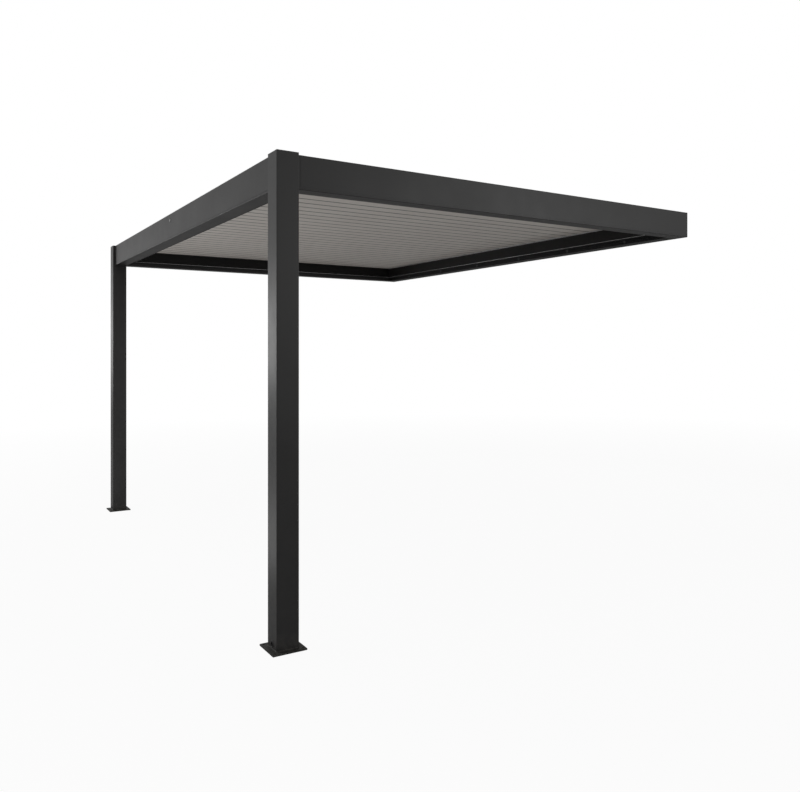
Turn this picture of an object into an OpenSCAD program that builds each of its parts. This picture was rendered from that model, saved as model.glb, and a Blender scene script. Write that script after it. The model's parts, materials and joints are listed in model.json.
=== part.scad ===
// Lean-to pergola with turning louvres, fastened to a wall along its back.
//
// +X runs along the wall, +Y into the wall and +Z up. The origin is the centre of the wall beam's
// back face. Inside the modules heights are counted from the ground, and from_ground() takes each
// piece to its place. "right" pieces lie at +X, and their mirror images at -X are the "left" ones.

/* [Overall] */
// Width along the wall, over the outer faces of the posts
width = 4000; // [3300:10:4800]
// Projection from the wall to the front face of the posts
projection = 3000; // [2400:10:3600]
// Height from the ground to the top of the front beam
height = 2400; // [2000:10:2900]

/* [Posts] */
// Side of the square post
post_size = 115; // [110:1:140]
// Wall thickness of the post
post_wall = 3; // [2:0.5:5]
// Thickness of the lid on top of the post
cap_thickness = 3; // [2:0.5:6]
// Depth of the lid's plug inside the post
cap_plug = 15; // [10:1:30]
// Gap between the lid's plug and the post's inner wall
cap_clearance = 0.3; // [0.2:0.1:0.6]
// Width of the base plate that shows around the post
plate_margin = 30; // [24:1:45]
// Thickness of the base plate
plate_thickness = 8; // [6:1:12]
// Diameter of the anchor holes in the base plate
anchor_hole = 12; // [9:0.5:14]
// Diameter of the water outlet near the post's foot
drain_hole = 25; // [20:1:32]
// Height of the outlet's centre above the base plate
drain_rise = 22; // [18:1:60]

/* [Beams] */
// Width of every beam
beam_width = 95; // [80:1:105]
// Height of the front beam
front_beam_height = 175; // [170:1:210]
// Height of the side beams and the wall beam
side_beam_height = 169; // [160:1:172]
// Wall thickness of the beams
beam_wall = 2.5; // [2:0.5:4]
// Radius of the long outer edges of posts and beams
edge_radius = 3; // [1:0.5:4]
// Width of the shadow groove along the outer faces
shadow_width = 3; // [2:0.5:5]
// Depth of the shadow groove
shadow_depth = 1.2; // [0.8:0.1:1.5]
// Height of the shadow groove above the beam's underside
shadow_rise = 9; // [7:1:20]
// Thickness of the plate that closes a side beam at the wall
end_plate = 3; // [2:0.5:5]

/* [Wall bolts] */
// Diameter of the bolt holes in the wall beam's back
bolt_hole = 11; // [9:0.5:14]
// Diameter of the access holes for the socket in the wall beam's front
socket_hole = 20; // [18:0.5:24]
// Distance from the beam's top or underside to the rows of bolt holes
bolt_edge = 18; // [16:1:24]
// Distance between bolt holes along the beam
bolt_spacing = 600; // [400:10:640]
// Number of bolt columns, the same on each side of the middle
bolt_columns = 6; // [2:2:6]

/* [Gutters] */
// Width of the gutter that runs round inside the beams
gutter_width = 65; // [62:1:80]
// Height of the gutter
gutter_height = 90; // [80:1:100]
// Wall thickness of the gutter
gutter_wall = 2.5; // [2:0.5:3]
// Height of the gutter's underside above the beams' underside
gutter_lift = 30; // [15:1:36]

/* [Louvres] */
// Number of louvre blades
louvre_count = 15; // [13:1:17]
// Thickness of a louvre blade
louvre_thickness = 32; // [28:1:36]
// Wall thickness of a louvre blade
louvre_wall = 1.8; // [1.5:0.1:2.5]
// Gap between two neighbouring blades on the underside
louvre_gap = 7; // [6:0.5:10]
// How far a blade's lip reaches over the next blade
lip_overlap = 16; // [12:1:24]
// Thickness of the lip
lip_thickness = 3; // [2:0.5:4]
// Clearance under the lip
lip_clearance = 5; // [5:0.5:8]
// Clearance between the gutter's top and the blade's underside
louvre_rise = 5; // [5:0.5:10]
// Gap between a blade's end and the pivot rail
louvre_end_gap = 6; // [5:0.5:12]
// Thickness of a blade's end cap
louvre_end_cap = 4; // [3:0.5:8]
// Width of the groove along the middle of a blade's underside
soffit_width = 4; // [3:0.5:7]
// Depth of that groove
soffit_depth = 4; // [2:0.5:5]

/* [Pivots and linkage] */
// Diameter of the pivot pins
pivot_d = 12; // [10:0.5:12]
// Depth of a pivot pin inside its blade
pivot_grip = 24; // [16:1:40]
// Running gap round every pin
running_gap = 0.3; // [0.2:0.05:0.5]
// Thickness of the pivot rails
rail_thickness = 6; // [4:0.5:8]
// Height of a pivot rail above the pivots' centre
rail_head = 18; // [12:1:20]
// Depth of the rail's skirt inside the gutter
rail_skirt = 20; // [10:1:26]
// Distance from a pivot to the crank pin below it
crank_radius = 42; // [36:1:50]
// Width of the crank arm
crank_width = 20; // [18:1:24]
// Diameter of the crank pin
crank_pin_d = 8; // [6:0.5:9]
// Thickness of the crank arm and of the tie bar
link_thickness = 5; // [4:0.5:6]
// Gap between the rail, the crank arms and the tie bar
link_gap = 5; // [4:0.5:6]
// How far a pin stands out past the last piece that it carries
pin_stub = 3; // [2:0.5:5]
// Height of the tie bar
tie_bar_height = 25; // [20:1:30]

/* [Gear motor] */
// Length of the gearbox along the beam
gearbox_length = 64; // [60:1:90]
// Drop of the gearbox below the pivots' centre
gearbox_drop = 32; // [20:1:45]
// Rise of the gearbox above the pivots' centre
gearbox_rise = 24; // [20:1:28]
// Depth of the drive pin inside the gearbox
drive_grip = 15; // [10:1:22]
// Diameter of the motor tube
motor_d = 40; // [30:1:40]
// Length of the motor tube
motor_length = 180; // [120:5:240]
// Thickness of the motor's bracket
bracket_thickness = 4; // [3:0.5:5]
// Gap between the gearbox and the front pivot rail
gearbox_gap = 10; // [6:1:14]

/* [Receiver] */
// Diameter of the receiver's window in the front beam
receiver_d = 20; // [16:1:26]
// Thickness of the window
receiver_thickness = 3; // [2:0.5:5]

/* [Hidden] */
$fn = 64;

frame_colour = [0.23, 0.24, 0.25];
louvre_colour = [0.87, 0.85, 0.82];
metal_colour = [0.62, 0.63, 0.65];

half_width = width / 2;
inner_x = half_width - post_size;
beam_inset = post_size - beam_width;
front_in = -projection + post_size;
wall_in = -beam_width;

beam_bottom = height - front_beam_height;
side_beam_top = beam_bottom + side_beam_height;
wall_face_z = beam_bottom + side_beam_height / 2;
plate_size = post_size + 2 * plate_margin;
anchor_offset = (post_size + plate_margin) / 2;
post_x = half_width - post_size / 2;
post_y = -projection + post_size / 2;

gutter_bottom = beam_bottom + gutter_lift;
gutter_top = gutter_bottom + gutter_height;
open_x = inner_x - gutter_width;
open_front = front_in + gutter_width;
open_wall = wall_in - gutter_width;

half_thick = louvre_thickness / 2;
pivot_z = gutter_top + louvre_rise + half_thick;
pitch = (2 * open_x - louvre_gap) / louvre_count;
blade_width = pitch - louvre_gap;
half_blade = blade_width / 2;
blade_front = open_front + louvre_end_gap;
blade_back = open_wall - louvre_end_gap;
rebate = lip_overlap + louvre_gap;
shoulder = half_thick - lip_thickness - lip_clearance;
pivot_bore_r = pivot_d / 2 + running_gap;
drive = ceil(louvre_count / 2);

rail_front = open_front - rail_thickness;
rail_back = open_wall + rail_thickness;
arm_y = rail_back + link_gap;
bar_y = arm_y + link_thickness + link_gap;
bar_z = pivot_z - crank_radius;
crank_bore_r = crank_pin_d / 2 + running_gap;

gearbox_front = front_in + bracket_thickness;
gearbox_back = rail_front - gearbox_gap;
receiver_z = beam_bottom + front_beam_height * 0.74;

function pivot_x(i) = -open_x + louvre_gap + half_blade + (i - 1) * pitch;
function louvre_name(i) = str("louvre_", i < 10 ? "0" : "", i);

FIXED = ["post_right", "post_left", "post_cap_right", "post_cap_left",
         "base_plate_right", "base_plate_left", "front_beam", "side_beam_right",
         "side_beam_left", "wall_beam", "beam_end_plate_right", "beam_end_plate_left",
         "front_gutter", "wall_gutter", "side_gutter_right", "side_gutter_left",
         "front_pivot_rail", "wall_pivot_rail", "edge_flashing", "gear_motor",
         "motor_bracket", "receiver_window"];

// ---- Shared shapes ----

// Moves a piece from heights above the ground into the model's frame.
module from_ground() translate([0, 0, -wall_face_z]) children();

// The same piece at the other end of the wall.
module left_hand() mirror([1, 0, 0]) children();

// Extrudes a section drawn in Y and Z along +X.
module along_x(length) rotate([90, 0, 90]) linear_extrude(length) children();

// Extrudes a section drawn in X and Z from y1 to y2.
module along_y(y1, y2) translate([0, y2, 0]) rotate([90, 0, 0]) linear_extrude(y2 - y1) children();

// A cylinder from y1 to y2.
module rod_y(radius, y1, y2) translate([0, y2, 0]) rotate([90, 0, 0]) cylinder(h = y2 - y1, r = radius);

// A rectangle from the origin with round corners.
module rounded_rect(size, radius) {
    translate([radius, 0]) square([size.x - 2 * radius, size.y]);
    translate([0, radius]) square([size.x, size.y - 2 * radius]);
    for (x = [radius, size.x - radius], y = [radius, size.y - radius])
        translate([x, y]) circle(radius);
}

// A rectangular tube's section with its shadow groove in the side at 0.
module beam_section(beam_height) {
    difference() {
        rounded_rect([beam_width, beam_height], edge_radius);
        translate([beam_wall, beam_wall])
            square([beam_width - 2 * beam_wall, beam_height - 2 * beam_wall]);
        translate([-1, shadow_rise]) square([shadow_depth + 1, shadow_width]);
    }
}

// ---- Posts ----

module post() {
    color(frame_colour) from_ground() translate([inner_x, -projection, plate_thickness])
        difference() {
            linear_extrude(height - cap_thickness - plate_thickness) difference() {
                rounded_rect([post_size, post_size], edge_radius);
                translate([post_wall, post_wall])
                    square(post_size - 2 * post_wall);
            }
            translate([post_size / 2, 0, drain_rise]) rod_y(drain_hole / 2, -1, post_wall + 1);
        }
}

module post_cap() {
    plug_inset = post_wall + cap_clearance;
    color(frame_colour) from_ground() translate([inner_x, -projection, height - cap_thickness]) {
        linear_extrude(cap_thickness) rounded_rect([post_size, post_size], edge_radius);
        translate([plug_inset, plug_inset, -cap_plug])
            linear_extrude(cap_plug + cap_thickness / 2) square(post_size - 2 * plug_inset);
    }
}

module base_plate() {
    color(frame_colour) from_ground() translate([post_x, post_y, 0]) linear_extrude(plate_thickness)
        difference() {
            square(plate_size, center = true);
            for (x = [-1, 1], y = [-1, 1]) translate([x, y] * anchor_offset) circle(d = anchor_hole);
        }
}

// ---- Beams ----

module front_beam() {
    color(frame_colour) from_ground()
        translate([-inner_x, -projection + beam_inset, beam_bottom])
            along_x(2 * inner_x) beam_section(front_beam_height);
}

module side_beam() {
    color(frame_colour) from_ground() translate([half_width - beam_inset, 0, beam_bottom])
        mirror([1, 0, 0]) along_y(front_in, -end_plate) beam_section(side_beam_height);
}

module beam_end_plate() {
    color(frame_colour) from_ground() translate([inner_x, 0, beam_bottom])
        along_y(-end_plate, 0) rounded_rect([beam_width, side_beam_height], edge_radius);
}

module wall_beam() {
    columns = [for (i = [0:bolt_columns - 1]) (i - (bolt_columns - 1) / 2) * bolt_spacing];
    color(frame_colour) from_ground() translate([0, 0, beam_bottom]) difference() {
        translate([-inner_x, 0, 0]) along_x(2 * inner_x) difference() {
            translate([-beam_width, 0]) square([beam_width, side_beam_height]);
            translate([beam_wall - beam_width, beam_wall])
                square([beam_width - 2 * beam_wall, side_beam_height - 2 * beam_wall]);
        }
        for (x = columns, z = [bolt_edge, side_beam_height - bolt_edge]) translate([x, 0, z]) {
            rod_y(bolt_hole / 2, -beam_wall - 1, 1);
            rod_y(socket_hole / 2, -beam_width - 1, beam_wall + 1 - beam_width);
        }
    }
}

// ---- Gutters ----

// A U-section from the origin, open at its top.
module gutter_section() {
    difference() {
        square([gutter_width, gutter_height]);
        translate([gutter_wall, gutter_wall])
            square([gutter_width - 2 * gutter_wall, gutter_height]);
    }
}

module cross_gutter(y) {
    color(frame_colour) from_ground() translate([-open_x, y, gutter_bottom])
        along_x(2 * open_x) gutter_section();
}

// Runs from beam to beam, closed at both ends, and lets the cross gutters in through its wall.
module side_gutter() {
    channel = gutter_width - 2 * gutter_wall;
    color(frame_colour) from_ground() translate([open_x, 0, gutter_bottom]) difference() {
        translate([0, front_in, 0]) cube([gutter_width, wall_in - front_in, gutter_height]);
        translate([gutter_wall, front_in + gutter_wall, gutter_wall])
            cube([channel, wall_in - front_in - 2 * gutter_wall, gutter_height]);
        for (y = [front_in + gutter_wall, open_wall + gutter_wall])
            translate([-1, y, gutter_wall]) cube([gutter_wall + 2, channel, gutter_height]);
    }
}

// ---- Pivot rails ----

// A rail on a gutter's inner wall: side is -1 where the gutter lies towards -Y, and 1 where it
// lies towards +Y.
module pivot_rail(y, side) {
    color(metal_colour) from_ground() difference() {
        translate([-open_x, y, 0]) along_x(2 * open_x) scale([side, 1]) polygon([
            [0, gutter_top],
            [gutter_wall, gutter_top],
            [gutter_wall, gutter_top - rail_skirt],
            [rail_thickness, gutter_top - rail_skirt],
            [rail_thickness, pivot_z + rail_head],
            [0, pivot_z + rail_head],
        ]);
        for (i = [1:louvre_count]) translate([pivot_x(i), 0, pivot_z])
            rod_y(pivot_bore_r, y - rail_thickness - 1, y + rail_thickness + 1);
    }
}

// Covers the first blade's rebate, from the left gutter's inner wall.
module edge_flashing() {
    color(frame_colour) from_ground() along_y(open_front, open_wall) polygon([
        [-open_x - gutter_wall, gutter_top],
        [-open_x, gutter_top],
        [-open_x, pivot_z + half_thick - lip_thickness],
        [-open_x + rebate, pivot_z + half_thick - lip_thickness],
        [-open_x + rebate, pivot_z + half_thick],
        [-open_x - gutter_wall, pivot_z + half_thick],
    ]);
}

// ---- Louvres ----

// The blade's section about its pivot: its lip reaches over the rebate of the next blade.
module blade_outline() {
    polygon([
        [-half_blade, -half_thick],
        [half_blade, -half_thick],
        [half_blade, half_thick - lip_thickness],
        [half_blade + rebate, half_thick - lip_thickness],
        [half_blade + rebate, half_thick],
        [rebate - half_blade, half_thick],
        [rebate - half_blade, shoulder],
        [-half_blade, shoulder],
    ]);
}

module blade_cavity() {
    low = louvre_wall - half_thick;
    land_half = soffit_width / 2 + louvre_wall;
    difference() {
        union() {
            translate([louvre_wall - half_blade, low])
                square([blade_width - 2 * louvre_wall, shoulder - louvre_wall - low]);
            translate([louvre_wall + rebate - half_blade, low])
                square([blade_width - rebate - 2 * louvre_wall, louvre_thickness - 2 * louvre_wall]);
        }
        translate([-land_half, -half_thick])
            square([2 * land_half, soffit_depth + louvre_wall]);
    }
}

module blade() {
    difference() {
        along_y(blade_front, blade_back) difference() {
            blade_outline();
            translate([-soffit_width / 2, -half_thick - 1]) square([soffit_width, soffit_depth + 1]);
        }
        along_y(blade_front + louvre_end_cap, blade_back - louvre_end_cap) blade_cavity();
        for (y = [blade_front, blade_back - louvre_end_cap])
            rod_y(pivot_bore_r, y - 1, y + louvre_end_cap + 1);
    }
}

// The pin at the wall end, with the arm that hangs from it and the crank pin.
module crank() {
    rod_y(pivot_d / 2, blade_back - pivot_grip, arm_y + link_thickness / 2);
    along_y(arm_y, arm_y + link_thickness) {
        circle(d = crank_width);
        translate([0, -crank_radius]) circle(d = crank_width);
        translate([-crank_width / 2, -crank_radius]) square([crank_width, crank_radius]);
    }
    translate([0, 0, -crank_radius])
        rod_y(crank_pin_d / 2, arm_y + link_thickness / 2, bar_y + link_thickness + pin_stub);
}

module louvre(i) {
    pin_end = i == drive ? gearbox_back - drive_grip : rail_front - pin_stub;
    from_ground() translate([pivot_x(i), 0, pivot_z]) {
        color(louvre_colour) blade();
        color(metal_colour) rod_y(pivot_d / 2, pin_end, blade_front + pivot_grip);
        color(metal_colour) crank();
    }
}

module tie_bar() {
    reach = crank_width;
    color(metal_colour) from_ground() difference() {
        translate([pivot_x(1) - reach, bar_y, bar_z - tie_bar_height / 2])
            cube([pivot_x(louvre_count) - pivot_x(1) + 2 * reach, link_thickness, tie_bar_height]);
        for (i = [1:louvre_count]) translate([pivot_x(i), 0, bar_z])
            rod_y(crank_bore_r, bar_y - 1, bar_y + link_thickness + 1);
    }
}

// ---- Drive ----

module gear_motor() {
    bore_depth = drive_grip + pin_stub;
    color(metal_colour) from_ground() translate([pivot_x(drive), 0, pivot_z]) difference() {
        union() {
            translate([-gearbox_length / 2, gearbox_front, -gearbox_drop])
                cube([gearbox_length, gearbox_back - gearbox_front, gearbox_drop + gearbox_rise]);
            translate([gearbox_length / 2 - 1, (gearbox_front + gearbox_back) / 2, 0])
                rotate([0, 90, 0]) cylinder(h = motor_length + 1, d = motor_d);
        }
        rod_y(pivot_bore_r, gearbox_back - bore_depth, gearbox_back + 1);
    }
}

module motor_bracket() {
    side = gearbox_length / 8;
    color(metal_colour) from_ground()
        translate([pivot_x(drive) - gearbox_length / 2 - side, front_in, gutter_top + 1])
            cube([gearbox_length + 2 * side, bracket_thickness,
                  pivot_z + gearbox_rise - gutter_top - 1]);
}

// A plain round window in the middle of the front beam's outer face.
module receiver_window() {
    face_y = -projection + beam_inset;
    color(louvre_colour) from_ground() translate([0, 0, receiver_z])
        rod_y(receiver_d / 2, face_y - receiver_thickness, face_y);
}

// ---- The model ----

post();  // post_right
left_hand() post();  // post_left
post_cap();  // post_cap_right
left_hand() post_cap();  // post_cap_left
base_plate();  // base_plate_right
left_hand() base_plate();  // base_plate_left
front_beam();
side_beam();  // side_beam_right
left_hand() side_beam();  // side_beam_left
wall_beam();
beam_end_plate();  // beam_end_plate_right
left_hand() beam_end_plate();  // beam_end_plate_left
cross_gutter(front_in);  // front_gutter
cross_gutter(open_wall);  // wall_gutter
side_gutter();  // side_gutter_right
left_hand() side_gutter();  // side_gutter_left
pivot_rail(open_front, -1);  // front_pivot_rail
pivot_rail(open_wall, 1);  // wall_pivot_rail
edge_flashing();
gear_motor();
motor_bracket();
receiver_window();
tie_bar();
for (i = [1:louvre_count])
    louvre(i);
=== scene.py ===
import json
from math import pi, radians

import bmesh
import bpy
from mathutils import Euler, Matrix, Vector


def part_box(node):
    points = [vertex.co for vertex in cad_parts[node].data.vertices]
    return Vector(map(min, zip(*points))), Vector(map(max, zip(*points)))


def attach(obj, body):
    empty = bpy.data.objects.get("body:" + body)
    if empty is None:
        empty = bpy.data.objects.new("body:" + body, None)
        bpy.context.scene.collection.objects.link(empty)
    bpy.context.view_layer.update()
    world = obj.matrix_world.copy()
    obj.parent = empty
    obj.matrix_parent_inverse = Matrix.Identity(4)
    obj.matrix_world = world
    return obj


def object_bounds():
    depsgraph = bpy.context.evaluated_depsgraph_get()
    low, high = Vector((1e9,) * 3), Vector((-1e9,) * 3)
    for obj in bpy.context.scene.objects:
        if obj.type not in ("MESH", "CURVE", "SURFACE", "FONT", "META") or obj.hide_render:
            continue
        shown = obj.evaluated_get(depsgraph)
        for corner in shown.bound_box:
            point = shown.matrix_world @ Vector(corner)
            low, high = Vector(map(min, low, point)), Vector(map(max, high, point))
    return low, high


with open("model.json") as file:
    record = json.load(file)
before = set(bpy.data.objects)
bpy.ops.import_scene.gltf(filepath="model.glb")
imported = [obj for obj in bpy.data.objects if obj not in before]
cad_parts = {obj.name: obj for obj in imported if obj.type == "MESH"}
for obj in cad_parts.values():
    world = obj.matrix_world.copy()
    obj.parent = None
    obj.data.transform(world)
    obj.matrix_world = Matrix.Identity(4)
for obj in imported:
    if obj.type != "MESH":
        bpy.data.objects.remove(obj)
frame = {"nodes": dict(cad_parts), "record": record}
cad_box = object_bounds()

MM = 0.001
record = frame["record"]
nodes = frame["nodes"]
pivots = {
    joint["child"]: Vector(joint["pos_m"])
    for joint in record["behaviour"]["joints"]
    if joint["name"].startswith("turn_")
}
LOUVRES = sorted(pivots)
FIRST, SECOND = LOUVRES[0], LOUVRES[1]
PITCH = pivots[SECOND].x - pivots[FIRST].x
PIVOT_Z = pivots[FIRST].z


def corners(node):
    """Lowest and highest corner of a CAD node as vectors."""
    low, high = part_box(node)
    return Vector(low), Vector(high)


# ---------------------------------------------------------------- shader groups


def new_group(name, inputs, outputs):
    """A shader node group with float or colour sockets, and its input and output nodes."""
    tree = bpy.data.node_groups.new(name, "ShaderNodeTree")
    for label, default in inputs.items():
        kind = "NodeSocketColor" if isinstance(default, tuple) else "NodeSocketFloat"
        socket = tree.interface.new_socket(label, in_out="INPUT", socket_type=kind)
        socket.default_value = default
    for label, kind in outputs.items():
        tree.interface.new_socket(label, in_out="OUTPUT", socket_type=kind)
    return tree, tree.nodes.new("NodeGroupInput"), tree.nodes.new("NodeGroupOutput")


def fill(tree, socket, value):
    """Links an output to the socket, or sets its plain value."""
    if isinstance(value, bpy.types.NodeSocket):
        tree.links.new(value, socket)
    else:
        socket.default_value = value


def maths(tree, operation, first, second=0.0):
    """A Math node's output."""
    node = tree.nodes.new("ShaderNodeMath")
    node.operation = operation
    fill(tree, node.inputs[0], first)
    fill(tree, node.inputs[1], second)
    return node.outputs[0]


def blend(tree, factor, first, second):
    """A colour mix of first and second."""
    node = tree.nodes.new("ShaderNodeMix")
    node.data_type = "RGBA"
    fill(tree, node.inputs[0], factor)
    fill(tree, node.inputs[6], first)
    fill(tree, node.inputs[7], second)
    return node.outputs[2]


def span(tree, value, low, high):
    """value's place between low and high, from 0 to 1."""
    node = tree.nodes.new("ShaderNodeMapRange")
    fill(tree, node.inputs["Value"], value)
    fill(tree, node.inputs["From Min"], low)
    fill(tree, node.inputs["From Max"], high)
    return node.outputs["Result"]


def noise(tree, vector, scale, detail=3.0, roughness=0.5):
    """A noise texture's value."""
    node = tree.nodes.new("ShaderNodeTexNoise")
    fill(tree, node.inputs["Vector"], vector)
    fill(tree, node.inputs["Scale"], scale)
    fill(tree, node.inputs["Detail"], detail)
    fill(tree, node.inputs["Roughness"], roughness)
    return node.outputs["Fac"]


def stretched(tree, stretch):
    """Object coordinates, scaled by stretch along each axis."""
    place = tree.nodes.new("ShaderNodeTexCoord").outputs["Object"]
    mapping = tree.nodes.new("ShaderNodeMapping")
    fill(tree, mapping.inputs["Vector"], place)
    mapping.inputs["Scale"].default_value = stretch
    return mapping.outputs["Vector"]


def build_powder_coat():
    """The fine orange peel of powder coat, and the slow change of tone over a long profile."""
    tree, source, result = new_group(
        "powder_coat",
        {"Grain": 850.0, "Mottle": 5.0},
        {"Height": "NodeSocketFloat", "Tone": "NodeSocketFloat", "Speckle": "NodeSocketFloat"},
    )
    place = stretched(tree, (1, 1, 1))
    peel = noise(tree, place, source.outputs["Grain"], 2.0)
    wave = noise(tree, place, maths(tree, "MULTIPLY", source.outputs["Grain"], 0.22), 1.0)
    tone = noise(tree, place, source.outputs["Mottle"], 4.0, 0.6)
    speckle = noise(tree, place, maths(tree, "MULTIPLY", source.outputs["Grain"], 1.9), 1.0)
    height = maths(tree, "ADD", peel, maths(tree, "MULTIPLY", wave, 0.6))
    tree.links.new(height, result.inputs["Height"])
    tree.links.new(span(tree, tone, 0.3, 0.7), result.inputs["Tone"])
    tree.links.new(span(tree, speckle, 0.55, 0.75), result.inputs["Speckle"])
    return tree


def build_settled_dust():
    """Dust on faces that look up, and a splash zone that fades out above the ground."""
    tree, source, result = new_group(
        "settled_dust",
        {"Ground": 0.0, "Splash Height": 0.12, "On Top": 0.4},
        {"Mask": "NodeSocketFloat"},
    )
    place = stretched(tree, (1, 1, 1))
    split = tree.nodes.new("ShaderNodeSeparateXYZ")
    tree.links.new(place, split.inputs[0])
    reach = maths(tree, "ADD", source.outputs["Ground"], source.outputs["Splash Height"])
    splash = span(tree, split.outputs["Z"], reach, source.outputs["Ground"])
    facing = tree.nodes.new("ShaderNodeSeparateXYZ")
    tree.links.new(tree.nodes.new("ShaderNodeNewGeometry").outputs["Normal"], facing.inputs[0])
    upward = span(tree, facing.outputs["Z"], 0.6, 1.0)
    upward = maths(tree, "MULTIPLY", upward, source.outputs["On Top"])
    cloud = span(tree, noise(tree, place, 26.0, 6.0, 0.65), 0.38, 0.72)
    fine = span(tree, noise(tree, place, 420.0, 2.0), 0.35, 0.75)
    whole = maths(tree, "MAXIMUM", maths(tree, "MULTIPLY", splash, 0.55), upward)
    whole = maths(tree, "MULTIPLY", whole, maths(tree, "ADD", maths(tree, "MULTIPLY", fine, 0.4), cloud))
    tree.links.new(maths(tree, "MINIMUM", whole, 1.0), result.inputs["Mask"])
    return tree


def build_joint_shade():
    """Painted shade: a darker band beside the joints and grooves on the louvres' underside."""
    tree, source, result = new_group(
        "joint_shade",
        {"First Joint": 0.0, "Spacing": 0.1, "Reach": 0.005, "Ceiling": 0.0},
        {"Mask": "NodeSocketFloat"},
    )
    place = stretched(tree, (1, 1, 1))
    split = tree.nodes.new("ShaderNodeSeparateXYZ")
    tree.links.new(place, split.inputs[0])
    along = maths(tree, "SUBTRACT", split.outputs["X"], source.outputs["First Joint"])
    off = maths(tree, "PINGPONG", along, maths(tree, "MULTIPLY", source.outputs["Spacing"], 0.5))
    wander = maths(tree, "MULTIPLY", noise(tree, place, 35.0, 3.0), source.outputs["Reach"])
    reach = maths(tree, "ADD", source.outputs["Reach"], wander)
    near = span(tree, off, reach, maths(tree, "MULTIPLY", source.outputs["Reach"], 0.4))
    below = maths(tree, "LESS_THAN", split.outputs["Z"], source.outputs["Ceiling"])
    tree.links.new(maths(tree, "MULTIPLY", near, below), result.inputs["Mask"])
    return tree


def build_drawn_lines(name, stretch):
    """The faint lines that a die leaves along an extruded profile."""
    tree, source, result = new_group(name, {"Density": 500.0}, {"Line": "NodeSocketFloat"})
    line = noise(tree, stretched(tree, stretch), source.outputs["Density"], 3.0, 0.7)
    tree.links.new(span(tree, line, 0.25, 0.75), result.inputs["Line"])
    return tree


COAT = build_powder_coat()
DUST = build_settled_dust()
# The mask of painted shade beside the louvres' joints and grooves.
JOINT_SHADE = build_joint_shade()
LINES_X = build_drawn_lines("drawn_lines_x", (0.004, 1, 1))
LINES_Y = build_drawn_lines("drawn_lines_y", (1, 0.004, 1))


def use_group(tree, group, **values):
    """Places a group in a material with its own values."""
    node = tree.nodes.new("ShaderNodeGroup")
    node.node_tree = group
    for name, value in values.items():
        node.inputs[name.replace("_", " ").title()].default_value = value
    return node


def new_material(name, metallic=0.0, specular=0.5):
    """A material with its Principled BSDF, whose plain numbers are set on its own sockets."""
    made = bpy.data.materials.new(name)
    made.use_nodes = True
    shader = made.node_tree.nodes["Principled BSDF"]
    shader.inputs["Metallic"].default_value = metallic
    shader.inputs["Specular IOR Level"].default_value = specular
    return made, made.node_tree, shader


def raised(tree, base, mask, share):
    """The plain number base, raised by a share of the mask."""
    total = maths(tree, "MULTIPLY_ADD", mask, share)
    total.node.inputs[2].default_value = base
    return total


def bump(tree, shader, height, strength, distance):
    """Feeds a height into the shader's normal."""
    node = tree.nodes.new("ShaderNodeBump")
    node.inputs["Strength"].default_value = strength
    node.inputs["Distance"].default_value = distance
    tree.links.new(height, node.inputs["Height"])
    tree.links.new(node.outputs["Normal"], shader.inputs["Normal"])


# How strongly each effect shows in a coated finish.
SPECK_SHARE = 0.12
SPECK_GAIN = 1.5
LINE_SHARE = 0.07
LINE_RELIEF = 0.35
# How dark the painted shade beside the louvres' joints gets.
JOINT_SHADE_SHARE = 0.9
TONE_ROUGHNESS = 0.07
DUST_ROUGHNESS = 0.3


def coated(name, dark, light, dust, roughness, specular, splash=0.0, on_top=0.25, lines=None,
           joints=None):
    """Powder-coated aluminium: two close tones, orange peel, fine specks, settled dust, painted joint
    shade.
    """
    made, tree, shader = new_material(name, specular=specular)
    coat = use_group(tree, COAT, grain=850.0, mottle=4.0)
    settled = use_group(tree, DUST, ground=cad_box[0][2], splash_height=splash, on_top=on_top)
    tone = blend(tree, coat.outputs["Tone"], dark, light)
    speck = maths(tree, "MULTIPLY", coat.outputs["Speckle"], SPECK_SHARE)
    tone = blend(tree, speck, tone, tuple(SPECK_GAIN * c for c in light[:3]) + (1,))
    height = coat.outputs["Height"]
    if lines:
        line = use_group(tree, lines, density=420.0).outputs["Line"]
        tone = blend(tree, maths(tree, "MULTIPLY", line, LINE_SHARE), tone, dark)
        height = maths(tree, "ADD", height, maths(tree, "MULTIPLY", line, LINE_RELIEF))
    tone = blend(tree, settled.outputs["Mask"], tone, dust)
    # Painted shade beside the joints: the tone darkens towards anthracite there.
    if joints:
        shade = use_group(tree, JOINT_SHADE, **joints).outputs["Mask"]
        tone = blend(tree, maths(tree, "MULTIPLY", shade, JOINT_SHADE_SHARE), tone, ANTHRACITE)
    tree.links.new(tone, shader.inputs["Base Color"])
    rough = raised(tree, roughness, coat.outputs["Tone"], TONE_ROUGHNESS)
    dusty = maths(tree, "MULTIPLY", settled.outputs["Mask"], DUST_ROUGHNESS)
    tree.links.new(maths(tree, "ADD", rough, dusty), shader.inputs["Roughness"])
    bump(tree, shader, height, strength=0.22, distance=0.25 * MM)
    return made


def milled(name, dark, light, roughness, lines):
    """Bare extruded aluminium with die lines and a slow cloudiness."""
    made, tree, shader = new_material(name, metallic=0.9)
    line = use_group(tree, lines, density=900.0).outputs["Line"]
    cloud = use_group(tree, COAT, grain=500.0, mottle=9.0).outputs["Tone"]
    tone = blend(tree, line, dark, light)
    tone = blend(tree, maths(tree, "MULTIPLY", cloud, 0.35), tone, dark)
    tree.links.new(tone, shader.inputs["Base Color"])
    tree.links.new(raised(tree, roughness, line, share=0.14), shader.inputs["Roughness"])
    bump(tree, shader, line, strength=0.15, distance=0.1 * MM)
    return made


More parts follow.
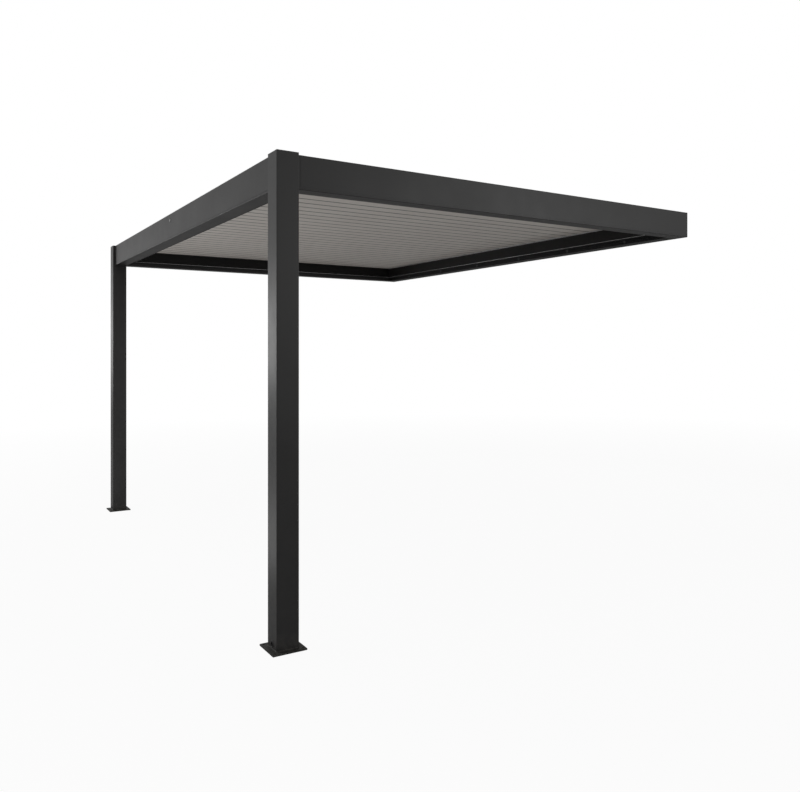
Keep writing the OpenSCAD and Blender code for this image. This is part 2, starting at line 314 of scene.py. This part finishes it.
def moulded(name, dark, light, roughness, grain, specular=0.5):
    """Rubber or moulded plastic: close tones and a fine leathery grain."""
    made, tree, shader = new_material(name, specular=specular)
    coat = use_group(tree, COAT, grain=grain, mottle=30.0)
    tree.links.new(blend(tree, coat.outputs["Tone"], dark, light), shader.inputs["Base Color"])
    rough = raised(tree, roughness, coat.outputs["Tone"], share=0.1)
    tree.links.new(rough, shader.inputs["Roughness"])
    bump(tree, shader, coat.outputs["Height"], strength=0.3, distance=0.15 * MM)
    return made


def zinc_plated():
    """Plated steel fasteners: a bright metal with small grey spangles."""
    made, tree, shader = new_material("plated_steel", metallic=1.0)
    coat = use_group(tree, COAT, grain=1400.0, mottle=160.0)
    tone = blend(tree, coat.outputs["Tone"], (0.38, 0.39, 0.41, 1), (0.62, 0.63, 0.64, 1))
    tree.links.new(tone, shader.inputs["Base Color"])
    rough = raised(tree, 0.3, coat.outputs["Tone"], share=0.15)
    tree.links.new(rough, shader.inputs["Roughness"])
    bump(tree, shader, coat.outputs["Height"], strength=0.15, distance=0.1 * MM)
    return made


# A darker copy of the anthracite coat: painted shade for the gutters and the wall beam, which sit under
# the roof.
ANTHRACITE_IN_PAINTED_SHADE = (0.0085, 0.0083, 0.0081, 1)
ANTHRACITE_LIGHT_IN_PAINTED_SHADE = (0.013, 0.0127, 0.0124, 1)
ANTHRACITE = (0.0205, 0.0198, 0.0192, 1)
ANTHRACITE_LIGHT = (0.0265, 0.0258, 0.0252, 1)
DUSTY = (0.11, 0.102, 0.092, 1)
LOUVRE = (0.816, 0.757, 0.703, 1)
LOUVRE_LIGHT = (0.860, 0.814, 0.760, 1)
LOUVRE_DUSTY = (0.33, 0.31, 0.28, 1)
MOTOR_GREY = (0.10, 0.103, 0.107, 1)
MOTOR_GREY_LIGHT = (0.125, 0.128, 0.132, 1)

post_coat = coated("post_coat", ANTHRACITE, ANTHRACITE_LIGHT, DUSTY, 0.36, 0.42, splash=0.10)
beam_coat = coated("beam_coat", ANTHRACITE, ANTHRACITE_LIGHT, DUSTY, 0.40, 0.40, lines=LINES_X)
# The wall beam takes the darker anthracite: painted shade.
wall_coat_painted_shade = coated("wall_beam_coat_painted_shade", ANTHRACITE_IN_PAINTED_SHADE, ANTHRACITE_LIGHT_IN_PAINTED_SHADE, DUSTY, 0.42, 0.16, lines=LINES_X)
side_coat = coated("side_beam_coat", ANTHRACITE, ANTHRACITE_LIGHT, DUSTY, 0.40, 0.40, lines=LINES_Y)
plate_coat = coated("plate_coat", ANTHRACITE, ANTHRACITE_LIGHT, DUSTY, 0.46, 0.3, splash=0.05)
# The gutters take the darker anthracite: painted shade.
gutter_coat_painted_shade = coated("gutter_coat_painted_shade", ANTHRACITE_IN_PAINTED_SHADE, ANTHRACITE_LIGHT_IN_PAINTED_SHADE, DUSTY, 0.42, 0.16, on_top=0.9)
# Where the painted shade beside the louvres' joints and grooves falls, only below the pivots.
louvre_joint_shade = {
    "first_joint": pivots[FIRST].x,
    "spacing": PITCH / 2,
    "reach": 8 * MM,
    "ceiling": PIVOT_Z - 11 * MM,
}
louvre_coat = coated("louvre_coat", LOUVRE, LOUVRE_LIGHT, LOUVRE_DUSTY, 0.38, 0.45, on_top=0.3,
                     lines=LINES_Y, joints=louvre_joint_shade)
rail_metal = milled("rail_metal", (0.42, 0.43, 0.44, 1), (0.60, 0.61, 0.62, 1), 0.3, LINES_X)
motor_paint = coated("motor_paint", MOTOR_GREY, MOTOR_GREY_LIGHT, DUSTY, 0.5, 0.4)
black_rubber = moulded("black_rubber", (0.012, 0.012, 0.012, 1), (0.02, 0.02, 0.02, 1), 0.62, 700.0)
black_plastic = moulded("black_plastic", (0.02, 0.02, 0.021, 1), (0.03, 0.03, 0.031, 1), 0.4, 900.0)
window_plastic = moulded("window_plastic", (0.6, 0.6, 0.58, 1), (0.68, 0.68, 0.66, 1), 0.14, 300.0)
plated_steel = zinc_plated()

FINISHES = {
    "post_": post_coat,
    "post_cap_": post_coat,
    "base_plate_": plate_coat,
    "front_beam": beam_coat,
    "wall_beam": wall_coat_painted_shade,
    "side_beam_": side_coat,
    "beam_end_plate_": side_coat,
    "front_gutter": gutter_coat_painted_shade,
    "wall_gutter": gutter_coat_painted_shade,
    "side_gutter_": gutter_coat_painted_shade,
    "edge_flashing": side_coat,
    "front_pivot_rail": rail_metal,
    "wall_pivot_rail": rail_metal,
    "tie_bar": rail_metal,
    "gear_motor": motor_paint,
    "motor_bracket": rail_metal,
    "receiver_window": window_plastic,
    "louvre_": louvre_coat,
}


def finish_nodes():
    """Gives every CAD node the finish whose name it starts with."""
    for name, node in nodes.items():
        finish = next(m for start, m in FINISHES.items() if name.startswith(start))
        node.data.materials.clear()
        node.data.materials.append(finish)


# ---------------------------------------------------------------- mesh helpers


def lathe(shape, profile, segments=24, shift=0.0):
    """Adds a turned shape about Z: profile is (radius, height) pairs, closed on the axis or not."""
    turned = bmesh.new()
    rings = []
    for radius, level in profile:
        if radius == 0:
            rings.append([turned.verts.new((0, 0, level + shift))])
            continue
        steps = (2 * pi * k / segments for k in range(segments))
        rings.append([
            turned.verts.new(Matrix.Rotation(a, 3, "Z") @ Vector((radius, 0, level + shift)))
            for a in steps
        ])
    pairs = list(zip(rings, rings[1:]))
    if profile[0][0] and profile[-1][0]:
        pairs.append((rings[-1], rings[0]))
    for low, high in pairs:
        for k in range(segments):
            after = (k + 1) % segments
            lower = [low[k % len(low)], low[after % len(low)]]
            upper = [high[after % len(high)], high[k % len(high)]]
            turned.faces.new(list(dict.fromkeys(lower + upper)))
    add_shape(shape, turned)


def add_shape(shape, extra):
    """Adds extra to shape with its faces outwards, and frees it."""
    bmesh.ops.recalc_face_normals(extra, faces=extra.faces)
    made = bpy.data.meshes.new("extra")
    extra.to_mesh(made)
    extra.free()
    shape.from_mesh(made)
    bpy.data.meshes.remove(made)


def block(shape, low, high, bevel):
    """Adds a block between two corners, with its edges bevelled."""
    low, high = Vector(low), Vector(high)
    size = high - low
    place = Matrix.Translation((low + high) / 2) @ Matrix.Diagonal((*size, 1))
    made = bmesh.new()
    bmesh.ops.create_cube(made, size=1, matrix=place)
    bmesh.ops.bevel(made, geom=made.edges[:], offset=bevel, segments=2, profile=0.5, affect="EDGES")
    add_shape(shape, made)


def show(name, shape, material, body="frame", sharp=32):
    """Makes a finished piece from a shape, and lets it ride on a body."""
    made = bpy.data.meshes.new(name)
    shape.to_mesh(made)
    shape.free()
    made.materials.clear()
    made.materials.append(material)
    made.polygons.foreach_set("material_index", [0] * len(made.polygons))
    made.polygons.foreach_set("use_smooth", [True] * len(made.polygons))
    made.set_sharp_from_angle(angle=radians(sharp))
    piece = bpy.data.objects.new(name, made)
    bpy.context.scene.collection.objects.link(piece)
    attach(piece, body)
    return piece


def build_row_tree():
    """A geometry tree that sets copies of a part along a line, realized and with a material."""
    tree = bpy.data.node_groups.new("row_of_parts", "GeometryNodeTree")
    tree.interface.new_socket("Geometry", in_out="INPUT", socket_type="NodeSocketGeometry")
    kinds = {"Part": "Object", "Count": "Int", "Start": "Vector", "Step": "Vector",
             "Turn": "Vector", "Material": "Material"}
    for label, kind in kinds.items():
        tree.interface.new_socket(label, in_out="INPUT", socket_type="NodeSocket" + kind)
    tree.interface.new_socket("Geometry", in_out="OUTPUT", socket_type="NodeSocketGeometry")
    source = tree.nodes.new("NodeGroupInput")
    line = tree.nodes.new("GeometryNodeMeshLine")
    part = tree.nodes.new("GeometryNodeObjectInfo")
    copies = tree.nodes.new("GeometryNodeInstanceOnPoints")
    realized = tree.nodes.new("GeometryNodeRealizeInstances")
    painted = tree.nodes.new("GeometryNodeSetMaterial")
    result = tree.nodes.new("NodeGroupOutput")
    for start, end in (
        (source.outputs["Count"], line.inputs["Count"]),
        (source.outputs["Start"], line.inputs["Start Location"]),
        (source.outputs["Step"], line.inputs["Offset"]),
        (source.outputs["Part"], part.inputs["Object"]),
        (line.outputs["Mesh"], copies.inputs["Points"]),
        (part.outputs["Geometry"], copies.inputs["Instance"]),
        (source.outputs["Turn"], copies.inputs["Rotation"]),
        (copies.outputs["Instances"], realized.inputs["Geometry"]),
        (realized.outputs["Geometry"], painted.inputs["Geometry"]),
        (source.outputs["Material"], painted.inputs["Material"]),
        (painted.outputs["Geometry"], result.inputs["Geometry"]),
    ):
        tree.links.new(start, end)
    return tree


ROW_TREE = build_row_tree()
OUT_OF_X = (0, radians(90), 0)
OUT_OF_Y = (radians(-90), 0, 0)
OUT_OF_MINUS_Y = (radians(90), 0, 0)
NO_STEP = (0, 0, 0)


def part_object(shape):
    """A hidden source object for rows."""
    made = bpy.data.meshes.new("row_part")
    shape.to_mesh(made)
    shape.free()
    part = bpy.data.objects.new("row_part", made)
    bpy.context.scene.collection.objects.link(part)
    return part


def add_rows(shape, part, rows, turn, material):
    """Adds copies of a part to shape: each row is (start, step, count)."""
    holder = bpy.data.objects.new("row", bpy.data.meshes.new("row"))
    bpy.context.scene.collection.objects.link(holder)
    modifier = holder.modifiers.new("row", "NODES")
    modifier.node_group = ROW_TREE
    inputs = {
        item.name: item.identifier
        for item in ROW_TREE.interface.items_tree
        if item.in_out == "INPUT"
    }
    for start, step, count in rows:
        values = {"Part": part, "Count": count, "Start": start, "Step": step,
                  "Turn": turn, "Material": material}
        for label, value in values.items():
            modifier[inputs[label]] = value
        holder.update_tag()
        bpy.context.view_layer.update()
        ready = holder.evaluated_get(bpy.context.evaluated_depsgraph_get())
        made = bpy.data.meshes.new_from_object(ready)
        shape.from_mesh(made)
        bpy.data.meshes.remove(made)
    bpy.data.objects.remove(holder)


def show_rows(name, part_shape, rows, turn, material, body="frame"):
    """A piece made only of rows of one part."""
    part = part_object(part_shape)
    shape = bmesh.new()
    add_rows(shape, part, rows, turn, material)
    bpy.data.objects.remove(part)
    return show(name, shape, material, body)


# ---------------------------------------------------------------- small parts


def button_head(radius):
    """A domed screw head with a hexagon recess."""
    shape = bmesh.new()
    lathe(shape, [
        (0, 0), (radius, 0), (radius, 0.18 * radius), (0.93 * radius, 0.33 * radius),
        (0.76 * radius, 0.47 * radius), (0.54 * radius, 0.54 * radius), (0.44 * radius, 0.5 * radius),
        (0.4 * radius, 0.2 * radius), (0, 0.16 * radius),
    ], 18)
    return shape


def bushing_shape(inner, outer, thickness):
    """A flanged plastic bushing round a pin."""
    shape = bmesh.new()
    edge = 0.2 * thickness
    lathe(shape, [
        (inner, 0), (outer, 0), (outer, 0.45 * thickness - edge), (outer - edge, 0.45 * thickness),
        (0.55 * outer + 0.45 * inner, 0.45 * thickness), (0.45 * outer + 0.55 * inner, thickness),
        (inner, thickness),
    ], 28)
    return shape


def plug_shape(radius, thickness):
    """A round plug with a rolled edge and a shallow dish."""
    shape = bmesh.new()
    lathe(shape, [
        (0, 0), (radius, 0), (radius, 0.4 * thickness), (0.96 * radius, 0.8 * thickness),
        (0.88 * radius, thickness), (0.78 * radius, 0.85 * thickness), (0.66 * radius, 0.6 * thickness),
        (0, 0.55 * thickness),
    ], 28)
    return shape


# ---------------------------------------------------------------- posts and feet


def make_feet():
    """The bead round each post's foot and the collar of each water outlet."""
    outlet_rise = 22 * MM
    collar_rows = []
    bead = bmesh.new()
    for side in ("right", "left"):
        plate_top = corners("base_plate_" + side)[1].z
        post_low, post_high = corners("post_" + side)
        add_bead(bead, post_low, post_high, plate_top, size=4 * MM)
        centre = (post_low.x + post_high.x) / 2
        collar_rows.append(((centre, post_low.y, plate_top + outlet_rise), NO_STEP, 1))
    show("foot_beads", bead, plate_coat)
    bore, neck, flange, depth = 10.6 * MM, 12.3 * MM, 16.5 * MM, 14 * MM
    collar = bmesh.new()
    lathe(collar, [
        (bore, -depth), (neck, -depth), (neck, 0), (flange, 0), (flange, 0.9 * MM),
        (flange - 0.9 * MM, 1.9 * MM), (bore + 1.2 * MM, 2.2 * MM), (bore, 1.2 * MM),
    ], 36)
    show_rows("outlet_collars", collar, collar_rows, OUT_OF_MINUS_Y, black_plastic)


def add_bead(shape, low, high, level, size):
    """A small concave weld bead round the foot of a square post."""
    section = [(0, size), (0, 0), (size, 0), (0.5 * size, 0.22 * size), (0.22 * size, 0.5 * size)]
    made = bmesh.new()
    rings = []
    for sign_x, sign_y in ((1, 1), (-1, 1), (-1, -1), (1, -1)):
        corner_x = high.x if sign_x > 0 else low.x
        corner_y = high.y if sign_y > 0 else low.y
        rings.append([
            made.verts.new((corner_x + sign_x * out, corner_y + sign_y * out, level + up))
            for out, up in section
        ])
    for ring, after in zip(rings, rings[1:] + rings[:1]):
        for k in range(len(section)):
            k2 = (k + 1) % len(section)
            made.faces.new([ring[k], ring[k2], after[k2], after[k]])
    add_shape(shape, made)


# ---------------------------------------------------------------- beams and rails


def make_beam_joints():
    """The thin seams of the corner brackets' covers, close to each post."""
    shape = bmesh.new()
    proud, sunk, seam, offset = 0.5 * MM, 2 * MM, 1.6 * MM, 17 * MM
    above_foot, below_top = 14 * MM, 3 * MM
    for side, sign in (("right", 1), ("left", -1)):
        low, high = corners("side_beam_" + side)
        outer = high.x if sign > 0 else low.x
        near, far = sorted((outer - sign * sunk, outer + sign * proud))
        y = low.y + offset
        block(shape, (near, y, low.z + above_foot), (far, y + seam, high.z - below_top), 0.2 * MM)
    show("corner_seams", shape, black_rubber)


def make_wall_plugs():
    """Plugs in the access holes on the wall beam's room side."""
    low, high = corners("wall_beam")
    bolts = {m["name"]: m for m in record["mounts"] if m["name"].startswith("wall_bolts")}
    step = bolts["wall_bolts_inner"]["dims"]["spacing_x_mm"] * MM
    reach = bolts["wall_bolts_outer"]["dims"]["spacing_x_mm"] * MM
    edge = (high.z - low.z - bolts["wall_bolts_inner"]["dims"]["spacing_y_mm"] * MM) / 2
    rows = [((-reach / 2, low.y, z), (step, 0, 0), round(reach / step) + 1)
            for z in (low.z + edge, high.z - edge)]
    plug = plug_shape(radius=11.5 * MM, thickness=1.8 * MM)
    show_rows("wall_beam_plugs", plug, rows, OUT_OF_MINUS_Y, black_plastic)


def make_rail_fittings():
    """Bushings at every pivot, and the screws that hold the rails to the gutters."""
    count = len(LOUVRES)
    front_face = corners("front_pivot_rail")[1].y
    wall_face = corners("wall_pivot_rail")[0].y
    first = pivots[FIRST].x
    step = (PITCH, 0, 0)
    screws_z = PIVOT_Z - 9 * MM
    screw_places = (0.35, 0.65)
    for name, face, turn in (("front", front_face, OUT_OF_Y), ("wall", wall_face, OUT_OF_MINUS_Y)):
        bushing = bushing_shape(inner=6.2 * MM, outer=11 * MM, thickness=4.2 * MM)
        rows = [((first, face, PIVOT_Z), step, count)]
        show_rows(name + "_bushings", bushing, rows, turn, black_plastic)
        screw = button_head(radius=4.5 * MM)
        rows = [((first + share * PITCH, face, screws_z), step, count - 1) for share in screw_places]
        show_rows(name + "_rail_screws", screw, rows, turn, plated_steel)


def make_gutter_edge_highlights():
    """Bright metal strips along the foot of each gutter's inner wall: a painted edge highlight."""
    rise, proud, sunk = 2.6 * MM, 1 * MM, 0.5 * MM
    left = corners("side_gutter_left")[1].x
    right = corners("side_gutter_right")[0].x
    front = corners("front_gutter")[1].y
    back = corners("wall_gutter")[0].y
    foot = corners("wall_gutter")[0].z
    shape = bmesh.new()
    for low, high in (
        ((left, front - sunk, foot), (right, front + proud, foot + rise)),
        ((left, back - proud, foot), (right, back + sunk, foot + rise)),
        ((left - sunk, front + proud, foot), (left + proud, back - proud, foot + rise)),
        ((right - proud, front + proud, foot), (right + sunk, back - proud, foot + rise)),
    ):
        block(shape, low, high, 0.2 * MM)
    show("gutter_drip_edges", shape, rail_metal)


def make_receiver_bezel():
    """A slim rim round the receiver's window."""
    low, high = corners("receiver_window")
    radius = (high.x - low.x) / 2
    depth = high.y - low.y
    rim = bmesh.new()
    lathe(rim, [
        (radius, 0), (1.3 * radius, 0), (1.3 * radius, 0.35 * depth), (1.22 * radius, 0.8 * depth),
        (1.1 * radius, 0.95 * depth), (radius, 0.7 * depth),
    ], 40)
    place = ((low.x + high.x) / 2, high.y, (low.z + high.z) / 2)
    rows = [(place, NO_STEP, 1)]
    show_rows("receiver_rim", rim, rows, OUT_OF_MINUS_Y, black_plastic)


def make_motor_details():
    """The motor's end cap, its clamp bands and the gearbox screws."""
    low, high = corners("gear_motor")
    drive = pivots[LOUVRES[len(LOUVRES) // 2]]
    motor_radius, gearbox_length = 20 * MM, 64 * MM
    inner, outer, edge = 0.98 * motor_radius, 1.05 * motor_radius, 0.6 * MM
    bands = bmesh.new()
    for start, width in ((2 * MM, 9 * MM), (60 * MM, 3 * MM), (118 * MM, 3 * MM), (168 * MM, 10 * MM)):
        lathe(bands, [(inner, 0), (outer, edge), (outer, width - edge), (inner, width)], 40, start)
    place = (drive.x + gearbox_length / 2, (low.y + high.y) / 2, PIVOT_Z)
    rows = [(place, NO_STEP, 1)]
    show_rows("motor_bands", bands, rows, OUT_OF_X, black_plastic)
    inset = 8 * MM
    rows = [((low.x + inset, high.y, z), (gearbox_length - 2 * inset, 0, 0), 2)
            for z in (low.z + inset, high.z - inset)]
    screw = button_head(radius=3.5 * MM)
    show_rows("gearbox_screws", screw, rows, OUT_OF_Y, plated_steel)


# ---------------------------------------------------------------- louvre fittings


def make_louvre_fittings():
    """Each louvre's sealing strip under its lip, partly painted shade, a groove bead of painted shade
    and a pin clip.
    """
    end_gap = 8 * MM
    front = corners("front_pivot_rail")[1].y + end_gap
    back = corners("wall_pivot_rail")[0].y - end_gap
    bar_low, bar_high = corners("tie_bar")
    crank_z = (bar_low.z + bar_high.z) / 2
    gap = 7 * MM
    blade_side = (PITCH - gap) / 2
    lip_underside = 13 * MM
    seal_start, seal_end, seal_depth = 0.2 * MM, 4 * MM, 4.2 * MM
    groove_half, groove_roof, shade_bead_depth = 1.7 * MM, -12 * MM, 2.2 * MM
    sunk = 0.1 * MM
    pin_radius, clip_radius, clip_thickness = 3.9 * MM, 7 * MM, 1 * MM
    for name in LOUVRES:
        pivot = pivots[name]
        # A real rubber sealing strip, set right over the gap between blades so the joint reads dark:
        # partly painted shade.
        seal_and_groove_shade = bmesh.new()
        top = pivot.z + lip_underside
        block(seal_and_groove_shade, (pivot.x + blade_side + seal_start, front, top - seal_depth),
              (pivot.x + blade_side + gap + seal_end, back, top + sunk), 0.9 * MM)
        # A black bead filling the soffit groove: painted shade.
        roof = pivot.z + groove_roof
        block(seal_and_groove_shade, (pivot.x - groove_half, front, roof - shade_bead_depth),
              (pivot.x + groove_half, back, roof + sunk), 0.5 * MM)
        show(name + "_seal", seal_and_groove_shade, black_rubber, name)
        clip = bmesh.new()
        lathe(clip, [
            (pin_radius, 0), (clip_radius, 0), (clip_radius + 0.2 * MM, clip_thickness / 2),
            (clip_radius, clip_thickness), (pin_radius, clip_thickness),
        ], 24)
        place = (pivot.x, bar_high.y + clip_thickness, crank_z)
        show_rows(name + "_clip", clip, [(place, NO_STEP, 1)], OUT_OF_Y, plated_steel, name)


# ---------------------------------------------------------------- studio

# Strengths of the even light on surfaces, and of the white backdrop and floor in reflections.
AMBIENT = 0.14
GLOSSY_WORLD = 0.56
GLOSSY_FLOOR = 0.03
# Where the floor starts to fade to white, where it is white, and how white it is near the object.
FADE_START = 4.0
FADE_END = 11.0
FLOOR_WHITE = 0.95
# The eye's place off the right front corner, with its height above the ground, and its view.
EYE = (5.435, -4.385, 1.433)
HEADING = radians(57.63)
LENS = 34.5
SHIFT = (-0.0219, -0.0543)


def make_floor():
    """A plain pale floor that fades to white far away and keeps the object's shadow."""
    shape = bmesh.new()
    bmesh.ops.create_circle(shape, cap_ends=True, segments=64, radius=60)
    made = bpy.data.meshes.new("floor")
    shape.to_mesh(made)
    shape.free()
    floor = bpy.data.objects.new("floor", made)
    floor.location.z = cad_box[0][2] - 1 * MM
    bpy.context.scene.collection.objects.link(floor)
    material = bpy.data.materials.new("floor")
    material.use_nodes = True
    tree = material.node_tree
    matt = tree.nodes["Principled BSDF"]
    matt.inputs["Base Color"].default_value = (0.8, 0.8, 0.8, 1)
    matt.inputs["Roughness"].default_value = 0.9
    matt.inputs["Specular IOR Level"].default_value = 0.1
    white = tree.nodes.new("ShaderNodeEmission")
    distance = tree.nodes.new("ShaderNodeVectorMath")
    distance.operation = "LENGTH"
    tree.links.new(tree.nodes.new("ShaderNodeTexCoord").outputs["Object"], distance.inputs[0])
    far = span(tree, distance.outputs["Value"], FADE_START, FADE_END)
    fade = maths(tree, "ADD", maths(tree, "MULTIPLY", far, 1 - FLOOR_WHITE), FLOOR_WHITE)
    path = tree.nodes.new("ShaderNodeLightPath")
    glossy = maths(tree, "MULTIPLY", path.outputs["Is Glossy Ray"], GLOSSY_FLOOR)
    seen = maths(tree, "MAXIMUM", path.outputs["Is Camera Ray"], path.outputs["Is Transmission Ray"])
    seen = maths(tree, "MAXIMUM", seen, glossy)
    mix = tree.nodes.new("ShaderNodeMixShader")
    tree.links.new(maths(tree, "MULTIPLY", seen, fade), mix.inputs[0])
    tree.links.new(matt.outputs[0], mix.inputs[1])
    tree.links.new(white.outputs[0], mix.inputs[2])
    tree.links.new(mix.outputs[0], tree.nodes["Material Output"].inputs["Surface"])
    made.materials.append(material)


def make_world():
    """A white backdrop to the eye and in reflections, and a softer even light on surfaces."""
    world = bpy.data.worlds.new("studio")
    bpy.context.scene.world = world
    world.use_nodes = True
    tree = world.node_tree
    tree.nodes.clear()
    path = tree.nodes.new("ShaderNodeLightPath")
    glossy = maths(tree, "MULTIPLY", path.outputs["Is Glossy Ray"], GLOSSY_WORLD)
    seen = maths(tree, "MAXIMUM", path.outputs["Is Camera Ray"], path.outputs["Is Transmission Ray"])
    seen = maths(tree, "MAXIMUM", seen, glossy)
    background = tree.nodes.new("ShaderNodeBackground")
    background.inputs["Color"].default_value = (1, 1, 1, 1)
    strength = maths(tree, "MAXIMUM", seen, AMBIENT)
    tree.links.new(strength, background.inputs["Strength"])
    output = tree.nodes.new("ShaderNodeOutputWorld")
    tree.links.new(background.outputs[0], output.inputs["Surface"])


def softbox(name, place, target, width, height, power):
    """A rectangular area light that looks at a point."""
    data = bpy.data.lights.new(name, "AREA")
    data.shape = "RECTANGLE"
    data.size = width
    data.size_y = height
    data.energy = power
    lamp = bpy.data.objects.new(name, data)
    lamp.location = place
    lamp.rotation_euler = (Vector(target) - Vector(place)).to_track_quat("-Z", "Y").to_euler()
    lamp.visible_camera = False
    bpy.context.scene.collection.objects.link(lamp)


def make_lights():
    """An overhead key, a front fill, a card on the floor, a low strip whose reflection runs down
    the posts, and a fill by the wall."""
    softbox("key", (0.0, -4.6, 6.2), (0, -2.5, -2.3), 5.0, 4.0, 157)
    softbox("front_fill", (-3.0, -9.0, 1.8), (0, -2.0, -0.4), 5.0, 3.0, 19)
    card_z = cad_box[0][2] + 30 * MM
    softbox("floor_card", (-0.4, -3.95, card_z), (-0.4, -3.95, 1), 2.2, 2.2, 11)
    softbox("post_strip", (-6.6, -6.4, -0.62), (2.0, -3.0, -0.85), 3.4, 1.3, 48)
    softbox("wall_fill", (9.0, 3.5, 0.6), (1.5, -0.8, 0), 3.0, 2.5, 119)


def make_camera():
    """A level camera at eye height, off the right front corner."""
    data = bpy.data.cameras.new("camera")
    data.sensor_width = 36
    data.lens = LENS
    data.shift_x, data.shift_y = SHIFT
    camera = bpy.data.objects.new("camera", data)
    camera.location = (EYE[0], EYE[1], cad_box[0][2] + EYE[2])
    camera.rotation_euler = Euler((radians(90), 0, HEADING))
    bpy.context.scene.collection.objects.link(camera)
    bpy.context.scene.camera = camera


make_camera()
make_world()
make_lights()
make_floor()
finish_nodes()
make_feet()
make_beam_joints()
make_wall_plugs()
make_rail_fittings()
make_gutter_edge_highlights()
make_receiver_bezel()
make_motor_details()
make_louvre_fittings()

bpy.context.scene.view_settings.view_transform = "Standard"
